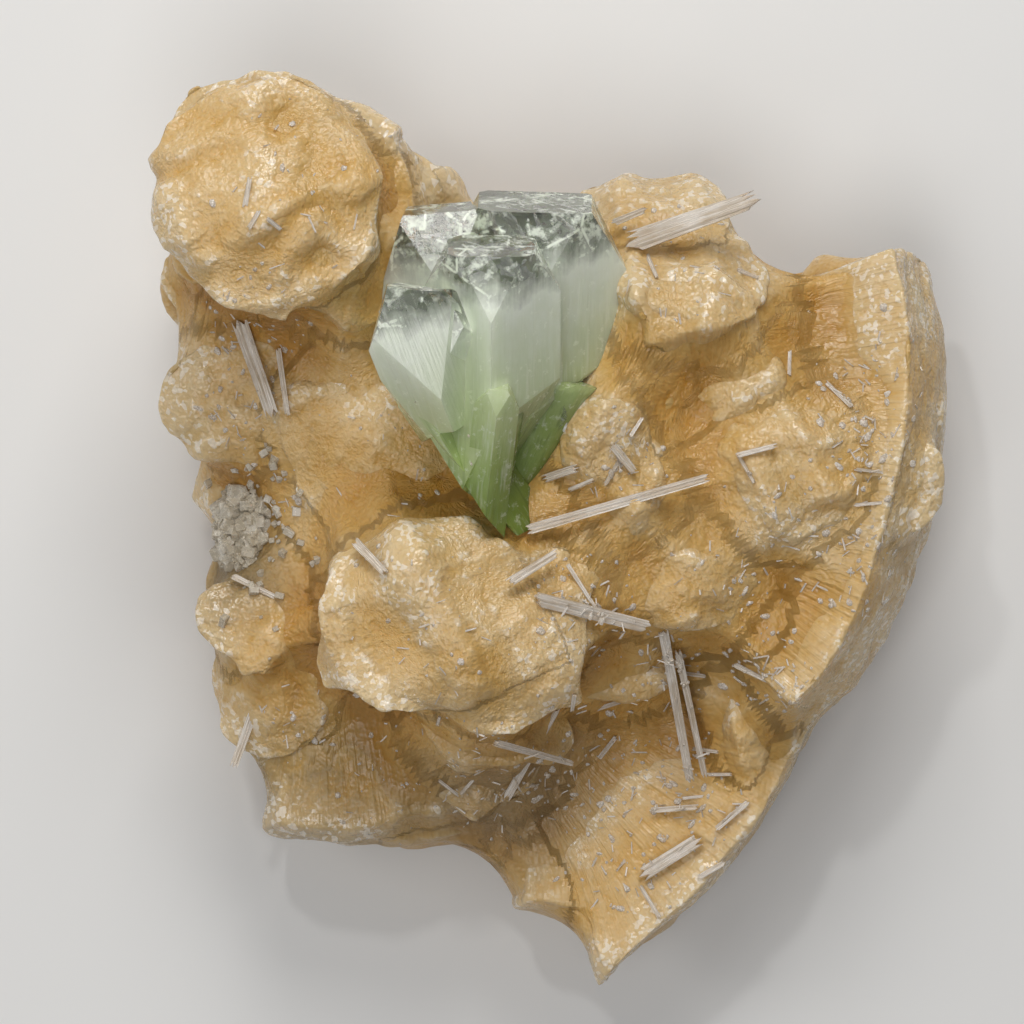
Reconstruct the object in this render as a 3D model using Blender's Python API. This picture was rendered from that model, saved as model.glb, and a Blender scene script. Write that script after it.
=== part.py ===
"""A specimen of green apophyllite on peach stilbite, with white scolecite needles.

The specimen lies on the flat of its broken back, and its crystals face up. Its origin is the middle of that flat.
X runs to the right, Y to the upper end of the specimen, and Z up, out of the rock.
All sizes and places below are millimetres.
"""
import math
import random

import bmesh
import bpy
from mathutils import Matrix, Quaternion, Vector

METRES_PER_MM = 0.001


def clear_scene():
    for thing in list(bpy.data.objects):
        bpy.data.objects.remove(thing, do_unlink=True)


def new_collection(name):
    group = bpy.data.collections.new(name)
    bpy.context.scene.collection.children.link(group)
    return group


clear_scene()
SPECIMEN = new_collection("apophyllite_on_stilbite")
SHAPES = new_collection("shapes_that_are_joined_or_cut")


def new_material(name, colour, roughness, transmission=0.0):
    material = bpy.data.materials.new(name)
    material.use_nodes = True
    shader = material.node_tree.nodes["Principled BSDF"]
    shader.inputs["Base Color"].default_value = (*colour, 1.0)
    shader.inputs["Roughness"].default_value = roughness
    shader.inputs["Metallic"].default_value = 0.0
    shader.inputs["Transmission Weight"].default_value = transmission
    shader.inputs["IOR"].default_value = 1.53
    return material


PEACH = new_material("peach_stilbite", (0.62, 0.40, 0.19), 0.45)
GREEN = new_material("green_apophyllite", (0.62, 0.74, 0.55), 0.08, 0.6)
WHITE = new_material("white_scolecite", (0.80, 0.76, 0.70), 0.35)
GREY = new_material("grey_druse", (0.55, 0.52, 0.45), 0.5)


def to_object(name, bm, material, group):
    bmesh.ops.recalc_face_normals(bm, faces=bm.faces[:])
    mesh = bpy.data.meshes.new(name)
    bm.to_mesh(mesh)
    bm.free()
    mesh.materials.append(material)
    made = bpy.data.objects.new(name, mesh)
    group.objects.link(made)
    return made


def as_helper(thing):
    thing.hide_render = True
    thing.display_type = "WIRE"
    return thing


# Stilbite sheaves: each is a fan of blades that spreads from its waist


def divided_block(across, through, along):
    """A cube of side 2, cut into strips along X, Y and Z."""
    bm = bmesh.new()
    bmesh.ops.create_cube(bm, size=2.0)
    for axis, strips in enumerate((across, through, along)):
        if strips > 1:
            edges = [e for e in bm.edges if abs(e.verts[0].co[axis] - e.verts[1].co[axis]) > 1.0]
            bmesh.ops.subdivide_edges(bm, edges=edges, cuts=strips - 1, use_grid_fill=True)
    return bm


def sheaf(name, root, tip, across, spread, depth, waist, blades=5, layers=3, ragged=0.05, stepped=0.05,
          flat_end=0.0, worn=0.6):
    """A fan of blades from root to tip.

    spread and depth are the half angles in degrees, across and through the blades, waist the half sizes at the root.
    ragged is how much the blades differ in length and stepped how much the layers do, flat_end straightens the
    rim, and worn rounds off the four corners.
    """
    root, tip = Vector(root), Vector(tip)
    reach = (tip - root).length
    axis = (tip - root).normalized()
    side = Vector(across)
    side = (side - axis * side.dot(axis)).normalized()
    through = axis.cross(side)
    spread, depth = math.radians(spread), math.radians(depth)
    chance = random.Random(name)
    blade_ends = [chance.uniform(-ragged, ragged) for _ in range(blades + 1)]
    layer_ends = [chance.uniform(-stepped, stepped) for _ in range(layers + 1)]
    bm = divided_block(blades, layers, 1)
    for vertex in bm.verts:
        column, row = round((vertex.co.x + 1) / 2 * blades), round((vertex.co.y + 1) / 2 * layers)
        u = vertex.co.x * math.sqrt(1 - worn * vertex.co.y**2 / 2)
        v = vertex.co.y * math.sqrt(1 - worn * vertex.co.x**2 / 2)
        w = (vertex.co.z + 1) / 2
        turn, rise = u * spread, v * depth
        end = reach * (1 + blade_ends[column] + layer_ends[row]) / math.cos(turn) ** flat_end
        end *= 1 - 0.05 * worn * max(abs(u), abs(v)) ** 3
        ray = axis * math.cos(turn) * math.cos(rise) + side * math.sin(turn) + through * math.sin(rise)
        vertex.co = root + ray * end * w + side * u * waist[0] + through * v * waist[1]
    return to_object(name, bm, PEACH, SHAPES)


def lump(name, centre, size):
    """A rough rounded mass of rock."""
    bm = bmesh.new()
    bmesh.ops.create_icosphere(bm, subdivisions=2, radius=1.0)
    chance = random.Random(name.split("-")[0])
    for vertex in bm.verts:
        swell = 1 + chance.uniform(-0.12, 0.12)
        vertex.co = Vector(c + s * n * swell for c, s, n in zip(centre, size, vertex.co))
    return to_object(name, bm, PEACH, SHAPES)


# The knob at the upper left, a ball of sheaves that opens all round

sheaf("knob_main", (-30, 32.5, 22), (-30.5, 35, 42), (0.94, 0.34, 0), 33, 32, (2, 2), 7, 5)
sheaf("knob_back_left", (-31, 33.5, 16), (-35.5, 37.5, 28), (0.55, 0.83, 0), 32, 10, (2, 2), 6)
sheaf("knob_right_plate", (-28.5, 28.5, 18), (-18.5, 31.5, 33), (0.25, 0.97, 0), 30, 12, (2, 2), 6)
sheaf("knob_top", (-31, 34, 18), (-31, 43.5, 32), (1, 0.1, 0.2), 28, 14, (2, 2), 6)
sheaf("knob_left_tip", (-33, 32.5, 20), (-38.5, 32, 29), (0.1, 0.9, -0.2), 26, 14, (2, 2), 6)
sheaf("knob_lower", (-27.5, 31, 14), (-26, 22, 27), (1, 0.25, 0.1), 34, 16, (2, 2), 5)
sheaf("knob_lower_left", (-31, 30, 10), (-36, 24, 24), (0.8, -0.6, 0), 26, 14, (2, 2))
sheaf("plate_top", (-28.5, 45.5, 24), (-17, 39.5, 26), (0.45, 0.9, 0), 5, 3, (2.2, 1.8), 3, 2)
sheaf("shoulder_plate", (-18.5, 33.5, 16), (-15.5, 38.5, 22), (0.9, -0.5, 0), 16, 8, (2.5, 2), 4, 2)
sheaf("shoulder_thin", (-17, 32, 14), (-9.5, 35.5, 19), (0.4, -0.9, 0), 10, 6, (2, 1.5), 3, 2)

# The broken left side

sheaf("left_wedge", (-32, 26, 13), (-40.5, 26.5, 20), (0.3, 0.95, 0), 20, 12, (2, 2))
sheaf("left_edge_plate", (-28, 18, 11), (-36.5, 18, 20), (0, 1, 0.1), 34, 12, (3, 2), 6)
sheaf("left_block", (-31, 15.5, 8), (-34, 12.5, 26), (1, 0.2, 0.15), 22, 16, (2.5, 2))
sheaf("left_shards", (-28, 8, 7), (-36, 7, 17), (0.1, 0.9, 0.3), 24, 12, (3, 2))
sheaf("left_lump", (-26, -8, 7), (-33, -8, 17), (0, 1, 0), 30, 24, (3, 2))
sheaf("left_sheaf", (-26, -16.5, 8), (-31, -17.5, 20), (0.1, 1, 0), 27, 25, (3, 2))
sheaf("left_sheaf_tip", (-30, -13.5, 10), (-31.5, -10, 23), (1, 0.2, 0), 20, 14, (2.5, 2))

# The long flank of fans below the knob, and the fans of the lower left edge

sheaf("flank_upper", (-19, 9, -2), (-18.5, 10, 29), (0.8, 0.57, 0), 20, 20, (1, 1), 6, 4)
sheaf("flank_mid", (-17, 2.5, 0), (-16, 3, 27), (0.8, 0.57, 0), 20, 16, (1, 1), 6, 3)
sheaf("fan_outer_left", (-24.5, 0, 12), (-20, -34.5, 11), (1, 0.1, 0), 14, 4, (3.5, 6), 8, 2)
sheaf("fan_far_left", (-25.5, -9, 8), (-25.5, -30, 10), (1, 0.1, 0), 12, 6, (2, 4), 6, 2)
sheaf("fan_lower_edge", (-13.5, -14.5, 6), (-11.5, -37, 9), (1, 0.1, 0), 11, 6, (2.5, 4), 6, 2)
sheaf("knob_centre", (-11, -13.5, 2), (-13, -10, 38), (0.9, 0.4, 0), 17, 15, (1.5, 1.5), 8, 4)
sheaf("knob_centre_right", (-5.5, -13.5, 4), (-4, -13, 36), (0.5, 0.86, 0), 18, 12, (1.5, 1.5), 5, 3)
sheaf("knob_centre_lower", (-7.5, -18, 6), (-7, -22, 26), (1, -0.2, 0), 18, 10, (1.5, 1.5), 5, 3)
sheaf("foot_plate", (-3, -4.5, 8), (-1.5, -1.5, 31), (0.9, 0.4, 0), 11, 16, (1.5, 1.5), 4, 3)

# Upright blades to the right of the apophyllite

sheaf("blade_beside_apophyllite", (6, 8, 10), (5.5, 9, 33), (0.8, -0.6, 0), 8, 10, (0.6, 1), 3, 2)
sheaf("blade_stepped", (9.5, 2, 10), (9, 3, 32), (0.9, 0.4, 0), 9, 13, (1, 1), 4, 3)
sheaf("blade_narrow", (9.5, 13.5, 8), (9, 14.5, 30), (0.6, 0.8, 0), 8, 12, (1.5, 1.5), 3, 3)
sheaf("blade_low", (15, 8, 8), (14.5, 8, 26), (0.8, 0.6, 0), 8, 10, (1, 1.5), 3, 3)

# The fan that stands at the top, with the lumps below it

sheaf("top_fan", (15.5, 9, 10), (15.5, 27.5, 30), (1, -0.15, 0), 15.5, 13, (1.5, 2.5), 8, 3)
sheaf("top_fan_back", (12.5, 14, 10), (11, 35, 22), (1, 0, 0), 18, 12, (1.5, 2.5), 6, 3)
sheaf("lump_under_fan", (20, 13.5, 8), (19.5, 15, 29), (1, 0.3, 0), 14, 14, (1.5, 1.5), 5, 3)
sheaf("lump_in_notch", (25, 13.5, 6), (25.5, 18.5, 20), (1, 0, 0), 18, 14, (1.5, 1.5), 5, 3)

# The great crescent fan of the right edge, and the masses on it

sheaf("crescent", (-6, 13, 3), (40.3, 2.8, 23), (0.21, 0.98, 0), 29, 6, (1, 2), 14, 3, 0.008, 0.02, worn=0.1)
sheaf("crescent_lobe", (22, 1, 8), (29.5, -14.5, 21), (0.85, 0.5, 0), 14, 12, (2, 3), 5, 3)
sheaf("crescent_tip_back", (34, 19, 8), (32, 27, 16), (1, 0, 0), 16, 12, (1.5, 2), 4, 2)
sheaf("mass_high", (25, 3.5, 4), (26, 5, 31), (0.9, 0.4, 0), 15, 14, (1.5, 1.5), 6, 3)
sheaf("mass_inner", (20, -1, 8), (19, 0, 27), (0.9, -0.4, 0), 10, 12, (1.5, 1.5), 5, 3)
sheaf("mass_low", (14.5, -8, 4), (13.5, -5.5, 29), (0.93, -0.36, 0), 18, 12, (2, 1.5), 5, 3)
sheaf("mass_right_low", (28.5, -10, 4), (28, -8, 24), (0.8, 0.6, 0), 12, 15, (1.5, 1.5), 5, 3)
sheaf("mass_on_crescent", (35, 3.5, 6), (37.5, 4, 28), (0.3, 0.95, 0), 13, 12, (1.5, 1.5), 5, 3)

# The lower sheaf, whose straight rim is the lower right edge

sheaf("lower_sheaf", (-0.5, -21, 11), (20, -38, 14), (0.64, 0.77, 0), 34.5, 6, (3, 3), 10, 3, 0.01, 0.02, 0.63, 0.4)
sheaf("lower_sheaf_left", (0.5, -24, 8), (3.6, -43, 11), (1, 0.12, 0), 14, 8, (3, 3.5), 6, 2)
sheaf("lower_sheaf_right", (15, -20, 8), (25, -20, 19), (0.1, 1, 0), 20, 12, (4, 2), 5, 3)
sheaf("brown_lump", (6, -17, 6), (5.5, -14.5, 24), (1, 0, 0), 14, 12, (2, 1.5), 4, 3)
sheaf("rough_corner", (-7.5, -27, 2), (-8.5, -25.5, 20), (1, -0.3, 0), 20, 15, (2, 1.5), 5, 3, 0.08)
sheaf("rough_corner_low", (-3, -31.5, 2), (-5, -32.5, 15), (1, 0, 0), 20, 18, (2, 1.5), 5, 3, 0.08)

# The rock behind the sheaves

lump("rock_left", (-26, 0, 7), (10, 28, 9))
lump("rock_middle", (0, -6, 7), (23, 31, 9))
lump("rock_right", (21, 2, 7), (15, 19, 10))
lump("rock_centre_right", (10, -8, 8), (14, 12, 11))
lump("rock_top", (-6, 19, 7), (20, 13, 9))
lump("rock_under_fan", (14, 19, 8), (10, 13, 9))
lump("rock_knob", (-30, 31, 9), (8, 11, 11))


# Apophyllite crystals: square prisms with four steep pyramid faces over the edges and a flat end

PYRAMID_ANGLE = math.radians(60.4)


def cut_away(bm, point, normal):
    """Removes what lies beyond a plane and closes the cut with a face."""
    cut = bmesh.ops.bisect_plane(
        bm, geom=bm.verts[:] + bm.edges[:] + bm.faces[:], plane_co=point, plane_no=normal, clear_outer=True, dist=1e-9
    )
    edges = [e for e in cut["geom_cut"] if isinstance(e, bmesh.types.BMEdge)]
    if edges:
        bmesh.ops.edgeloop_fill(bm, edges=edges)


def crystal(name, top, long_axis, facing, prism, pyramid, lower, step, grow):
    """One crystal, with its flat end around top and its faces running down to the shared root.

    facing is the way its first pyramid face and prism edge look. prism holds the distances of the four prism
    faces from the axis, pyramid those of the four pyramid faces' upper edges, and lower a point and an outward
    direction for each face that narrows it towards the root, where each crystal stands back a step from the last.
    grow moves every face outwards.
    """
    top = Vector(top)
    axis = Vector(long_axis).normalized()
    front = Vector(facing)
    front = (front - axis * front.dot(axis)).normalized()
    right = axis.cross(front)
    bm = bmesh.new()
    bmesh.ops.create_cube(bm, size=160.0)
    bmesh.ops.translate(bm, verts=bm.verts, vec=top)
    cut_away(bm, top + axis * grow, axis)
    for quarter in range(4):
        angle = math.radians(90 * quarter)
        way = front * math.cos(angle) + right * math.sin(angle)
        slope = axis * math.cos(PYRAMID_ANGLE) + way * math.sin(PYRAMID_ANGLE)
        cut_away(bm, top + way * pyramid[quarter] + slope * grow, slope)
        between = front * math.cos(angle + math.pi / 4) + right * math.sin(angle + math.pi / 4)
        cut_away(bm, top + between * (prism[quarter] + grow), between)
    for point, slope in lower:
        slope = Vector(slope).normalized()
        cut_away(bm, Vector(point) + slope * (grow - step), slope)
    return to_object(name, bm, GREEN, SHAPES)


LOWER_RIGHT = ((8.6, 20, 30), (0.72, -0.63, 0.3))
LOWER_LEFT = ((-18, 13.5, 35), (-0.74, -0.67, 0.1))
UNDER = ((-6, 1, 19), (0, -0.35, -0.94))
ROOT_END = ((-5.5, 0.5, 24), (0.05, -0.95, -0.3))
ROOT_LEFT = ((-9, 4.5, 28), (-0.83, -0.55, -0.1))
ROOT_RIGHT = ((5.2, 7.2, 26), (0.86, -0.5, -0.2))
LEFT_SIDE = ((-18.8, 20.1, 44), (-0.95, 0.26, 0.1))


CRYSTALS = [
    ("apophyllite_back", (-1.2, 34.3, 32), (0.03, 0.96, 0.27), (0, 0, 1), (7.4, 7.3, 7.3, 7.3), (5.5, 5.9, 5, 6.3),
     (LOWER_RIGHT, ROOT_RIGHT, ROOT_LEFT, UNDER, ROOT_END)),
    ("apophyllite_middle", (-6, 29, 42), (0, 0.94, 0.34), (0, 0, 1), (5.2, 5.2, 5.2, 5.2), (3.8, 4.6, 4, 4.6),
     (LOWER_RIGHT, ROOT_LEFT, UNDER, ROOT_END)),
    ("apophyllite_far_left", (-12, 33.5, 33), (-0.06, 0.97, 0.22), (0.1, 0, 1), (5.2, 5.2, 5.5, 5.5), (3, 4, 3, 4.5),
     (((-17.1, 28.6, 30), (-0.95, 0.3, 0)), LOWER_LEFT, ROOT_LEFT, UNDER)),
    ("apophyllite_front", (-16.1, 25.4, 46), (-0.25, 0.66, 0.71), (0.25, -0.66, 0.71), (6.3, 1.2, 1.2, 6.3),
     (3, 3.5, 0.3, 3.5),
     (((-14, 24.9, 46), (0.05, 0.98, 0.2)), ((-10, 9, 41), (0.3, -0.9, -0.2)), LEFT_SIDE, LOWER_LEFT, UNDER)),
    ("apophyllite_front_right", (-11.3, 23.5, 46), (0, 0.7, 0.7), (0, -0.7, 0.7), (3.4, 3.4, 3.4, 3.4),
     (1.2, 1.2, 1.2, 1.2), (((-8, 9.8, 40), (0.3, -0.9, 0)), LOWER_LEFT, UNDER)),
    ("apophyllite_small", (-5.2, 14.2, 43.4), (0.1, 0.85, 0.5), (0, -0.5, 0.85), (1.7, 1.7, 1.7, 1.7), (1, 1, 1, 1),
     (ROOT_LEFT, UNDER, ROOT_END)),
    ("apophyllite_low", (-17.5, 17.5, 37), (-0.5, 0.8, 0.3), (0.1, 0, 1), (4.2, 4, 4, 4.2), (2.5, 2.5, 2.5, 2.5),
     (LOWER_LEFT, ROOT_LEFT, UNDER, ROOT_END)),
    ("apophyllite_striped", (1.8, 13, 33), (0.5, 0.75, 0.4), (-0.5, 0, 0.8), (0.9, 1.1, 0.9, 1.1),
     (0.4, 0.5, 0.4, 0.5), (((0, 9, 30), (-0.5, -0.7, -0.4)),)),
]
STEP_AT_ROOT = 0.13


def apophyllite(grow):
    """All the crystals of the group, each with its faces moved outwards by grow."""
    return [crystal(f"{name}-{grow}", *shape, lower, number * STEP_AT_ROOT, grow)
            for number, (name, *shape, lower) in enumerate(CRYSTALS)]


# Joining and cutting


def settled_mesh(thing):
    """The mesh of an object with its modifiers carried out."""
    seen = thing.evaluated_get(bpy.context.evaluated_depsgraph_get())
    return bpy.data.meshes.new_from_object(seen)


def joined(name, pieces, material, home=SPECIMEN):
    """One solid of all the pieces. Hollows sealed inside it are filled."""
    group = new_collection(f"{name}_pieces")
    for piece in pieces[1:]:
        group.objects.link(piece)
    body = bpy.data.objects.new(name, pieces[0].data.copy())
    home.objects.link(body)
    union = body.modifiers.new("join", "BOOLEAN")
    union.operation = "UNION"
    union.solver = "EXACT"
    union.operand_type = "COLLECTION"
    union.collection = group
    union.use_self = True
    body.data = settled_mesh(body)
    body.modifiers.clear()
    keep_largest_shell(body.data)
    body.data.materials.clear()
    body.data.materials.append(material)
    return body


def keep_largest_shell(mesh):
    bm = bmesh.new()
    bm.from_mesh(mesh)
    left = set(bm.verts)
    shells = []
    while left:
        shell = {left.pop()}
        edge_of_search = list(shell)
        while edge_of_search:
            vertex = edge_of_search.pop()
            for edge in vertex.link_edges:
                other = edge.other_vert(vertex)
                if other in left:
                    left.remove(other)
                    shell.add(other)
                    edge_of_search.append(other)
        shells.append(shell)
    largest = max(shells, key=lambda shell: max(v.co.x for v in shell) - min(v.co.x for v in shell))
    bmesh.ops.delete(bm, geom=[v for v in bm.verts if v not in largest], context="VERTS")
    bm.to_mesh(mesh)
    bm.free()


def cut_from(body, cutters):
    for cutter in cutters:
        cut = body.modifiers.new(cutter.name, "BOOLEAN")
        cut.operation = "DIFFERENCE"
        cut.solver = "EXACT"
        cut.object = cutter
    body.data = settled_mesh(body)
    body.modifiers.clear()
    keep_largest_shell(body.data)


def cut_flat(body, height):
    """Cuts off all that is below a height, so that the specimen stands on a flat."""
    bm = bmesh.new()
    bm.from_mesh(body.data)
    cut_away(bm, Vector((0, 0, height)), Vector((0, 0, -1)))
    bmesh.ops.triangulate(bm, faces=[f for f in bm.faces if len(f.verts) > 4])
    bm.to_mesh(body.data)
    bm.free()


# Scolecite needles, square in section with a low point, each set in the rock or laid on it


def needle(name, start, end, width, thickness, grow=0.0):
    """A needle from start to end. grow moves every face outwards."""
    start, end = Vector(start), Vector(end)
    length = (end - start).length
    bm = bmesh.new()
    bmesh.ops.create_cube(bm, size=1.0)
    top = [f for f in bm.faces if f.normal.z > 0.9]
    point = bmesh.ops.poke(bm, faces=top)["verts"]
    bmesh.ops.scale(bm, vec=(width + 2 * grow, thickness + 2 * grow, length + 2 * grow), verts=bm.verts)
    bmesh.ops.translate(bm, vec=(0, 0, 0.4 * width), verts=point)
    bmesh.ops.rotate(bm, matrix=(end - start).to_track_quat("Z", "Y").to_matrix(), verts=bm.verts)
    bmesh.ops.translate(bm, vec=(start + end) / 2, verts=bm.verts)
    return to_object(name, bm, WHITE, SPECIMEN if grow == 0 else SHAPES)


NEEDLES = {
    "needle_bundle_top": ((9.3, 30.2, 28.6), (22, 34.5, 32), 2.4, 1.6),
    "needle_beside_bundle": ((7.2, 32.3, 27.5), (10.5, 33.6, 28.8), 0.8, 0.5),
    "needle_lath_left": ((-33.5, 21.5, 27.6), (-30, 11.5, 27.2), 1.7, 0.8),
    "needle_thin_left": ((-29.3, 18.5, 27.4), (-28.3, 11.5, 27.6), 0.6, 0.5),
    "needle_in_notch": ((22.2, 20.3, 25.3), (28.5, 22.4, 24.8), 1.0, 0.7),
    "needle_long": ((-2, -1, 33.2), (17, 4.5, 32.8), 1.1, 0.8),
    "needle_wedge": ((-1, -8.5, 36.4), (10.5, -11.5, 30.4), 1.5, 0.8),
    "needle_on_knob": ((-4, -6.6, 37.6), (0.8, -3.6, 34.9), 1.0, 0.6),
    "needle_short": ((2.2, -3, 31), (5.5, -6, 31), 0.7, 0.5),
    "needle_lower_long": ((12.5, -12, 27.3), (15.6, -28.6, 20.2), 1.1, 0.8),
    "needle_lower_side": ((14.2, -14.5, 25.1), (17.2, -28, 19.6), 0.8, 0.6),
    "needle_across": ((-5.5, -24, 33.2), (2.5, -26.5, 25), 0.8, 0.6),
    "needle_crossed": ((-4.5, -30.5, 20.2), (1, -20.5, 25), 0.9, 0.6),
    "needle_hollow": ((4.4, -16.6, 24.8), (7.6, -20, 19.5), 0.7, 0.5),
    "needle_hollow_low": ((3, -22, 16.8), (6.5, -23, 16.9), 0.6, 0.5),
    "needle_rim": ((18.5, -34, 19.6), (22, -31, 20), 0.6, 0.5),
    "needle_plate": ((11.6, -32, 18.2), (16.4, -31.6, 19.2), 0.6, 0.5),
    "needle_slab": ((10.5, -39, 18.9), (16.5, -35.2, 19.4), 1.5, 0.7),
    "needle_edge_low": ((-12, -34.3, 13.6), (-8, -33.8, 14.6), 0.8, 0.6),
    "needle_flank": ((-20.5, -2.5, 35.4), (-17.5, -5.5, 38.6), 1.0, 0.6),
    "needle_root": ((-0.3, 4.5, 30.6), (3.1, 5.6, 32.4), 0.9, 0.6),
    "needle_blade": ((7, 8, 33.3), (9.2, 5.3, 32.7), 0.9, 0.6),
    "needle_left_edge": ((-32.6, -21.5, 18.6), (-34.6, -27, 18), 1.0, 0.7),
    "needle_mass": ((20.5, 7, 31.6), (24.5, 8, 31.7), 0.6, 0.5),
    "needle_valley": ((30.5, 15.5, 24.2), (33, 12, 26), 0.7, 0.5),
    "needle_crescent": ((33.5, 10, 26.3), (36.3, 6, 28.6), 0.7, 0.5),
}


# The grey druse of small blocky crystals on the left edge


def druse(grow):
    pieces = [lump(f"druse_base-{grow}", (-32.5, -1, 16), (4.2 + grow, 6 + grow, 5 + grow))]
    chance = random.Random("druse")
    for number in range(7):
        bm = bmesh.new()
        size = chance.uniform(3.2, 5) + 2 * grow
        bmesh.ops.create_cube(bm, size=size)
        tilt = Quaternion([chance.gauss(0, 1) for _ in range(4)]).normalized()
        bmesh.ops.rotate(bm, matrix=tilt.to_matrix(), verts=bm.verts)
        place = Vector((-33 + chance.uniform(-2, 2), -5 + 1.4 * number, 18 + chance.uniform(-1, 1.2)))
        bmesh.ops.translate(bm, vec=place, verts=bm.verts)
        pieces.append(to_object(f"druse_block_{number}-{grow}", bm, GREY, SHAPES))
    return pieces


GAP = 0.3
BACK_OF_ROCK = 0.0

MATRIX = joined("stilbite_matrix", list(SHAPES.objects), PEACH)
cut_flat(MATRIX, BACK_OF_ROCK)
CLUSTER = joined("apophyllite_cluster", apophyllite(0.0), GREEN)
DRUSE = joined("white_druse", druse(0.0), GREY)
sockets = [
    joined("apophyllite_socket", apophyllite(GAP), PEACH, SHAPES),
    joined("druse_socket", druse(GAP), PEACH, SHAPES),
]
for needle_name, (start, end, width, thickness) in NEEDLES.items():
    needle(needle_name, start, end, width, thickness)
    sockets.append(needle(f"{needle_name}_socket", start, end, width, thickness, GAP))
cut_from(MATRIX, sockets)
for shape in SHAPES.objects:
    as_helper(shape)
for thing in bpy.data.objects:
    thing.data.transform(Matrix.Scale(METRES_PER_MM, 4))
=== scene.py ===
"""The looks of a green apophyllite group on peach stilbite, with white scolecite needles.

Lengths are written in millimetres and scaled by MM where a mesh is made. X runs right, Y up the specimen and
Z out of the rock, from the middle of the flat that it stands on.
"""

import itertools
import math
import random

import bpy
import numpy as np
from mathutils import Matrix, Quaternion, Vector


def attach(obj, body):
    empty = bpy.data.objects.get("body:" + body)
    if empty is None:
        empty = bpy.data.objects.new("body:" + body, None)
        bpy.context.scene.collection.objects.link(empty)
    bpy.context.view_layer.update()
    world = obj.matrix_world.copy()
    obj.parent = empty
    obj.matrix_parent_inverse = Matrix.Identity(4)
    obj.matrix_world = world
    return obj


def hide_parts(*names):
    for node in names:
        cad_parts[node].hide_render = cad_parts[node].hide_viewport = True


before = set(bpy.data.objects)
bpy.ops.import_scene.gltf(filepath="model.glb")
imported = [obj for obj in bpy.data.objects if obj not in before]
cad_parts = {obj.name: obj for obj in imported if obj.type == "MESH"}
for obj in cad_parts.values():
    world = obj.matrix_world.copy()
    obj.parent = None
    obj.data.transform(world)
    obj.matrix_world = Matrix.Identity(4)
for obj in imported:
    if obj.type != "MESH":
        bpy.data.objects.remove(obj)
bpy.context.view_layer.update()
bpy.ops.object.select_all(action="DESELECT")


# The knob at the upper left: a ball of stilbite sheaves that opens all round.
# Stilbite, a waxy peach zeolite, grows as thin blades side by side, which fan out from a waist into a sheaf.
# A sheaf is given as root, tip, the way across its blades, half angles across and through, waist, blades and
# layers.
# A patch of dust and painted shade is given as its middle, how far it reaches, how strong it is, and its
# colour.

MM = 0.001
VOXEL = 0.38
PLATES = {"plate_top", "shoulder_plate", "shoulder_thin", "knob_back_left", "fan_outer_left", "fan_far_left",
          "fan_lower_edge", "crescent", "lower_sheaf", "lower_sheaf_left", "left_edge_plate"}
PEACH = {"deep": (0.43, 0.205, 0.03), "body": (0.545, 0.33, 0.10), "pale": (0.66, 0.50, 0.28)}
DUST_AND_SHADE_PATCHES = (
    ((-5, -29, 16), 11, 0.75, (0.24, 0.165, 0.085)), ((-37, 20, 13), 8, 0.5, (0.30, 0.21, 0.12)),
    ((-34, -7, 18), 8, 0.85, (0.22, 0.16, 0.08)), ((6, -15, 18), 5, 0.4, (0.36, 0.26, 0.16)),
    ((-24, -28, 12), 11, 0.8, (0.19, 0.12, 0.03)), ((31, 15, 20), 9, 0.55, (0.28, 0.165, 0.045)),
)


def add_block(cuts):
    """A cube of side 2 whose faces are cut into a fine net."""
    bpy.ops.object.select_all(action="DESELECT")
    bpy.ops.mesh.primitive_cube_add(size=2.0, location=(0, 0, 0))
    bpy.ops.object.mode_set(mode="EDIT")
    bpy.ops.mesh.select_all(action="SELECT")
    bpy.ops.mesh.subdivide(number_cuts=cuts)
    bpy.ops.object.mode_set(mode="OBJECT")
    return bpy.context.active_object


def points_of(mesh):
    """The places of a mesh's points, one in each row."""
    places = np.zeros(len(mesh.vertices) * 3)
    mesh.vertices.foreach_get("co", places)
    return places.reshape(-1, 3)


def set_points(mesh, places):
    mesh.vertices.foreach_set("co", np.asarray(places, float).ravel())
    mesh.update()


def unit(vector):
    return np.asarray(vector, float) / np.linalg.norm(vector)


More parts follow.
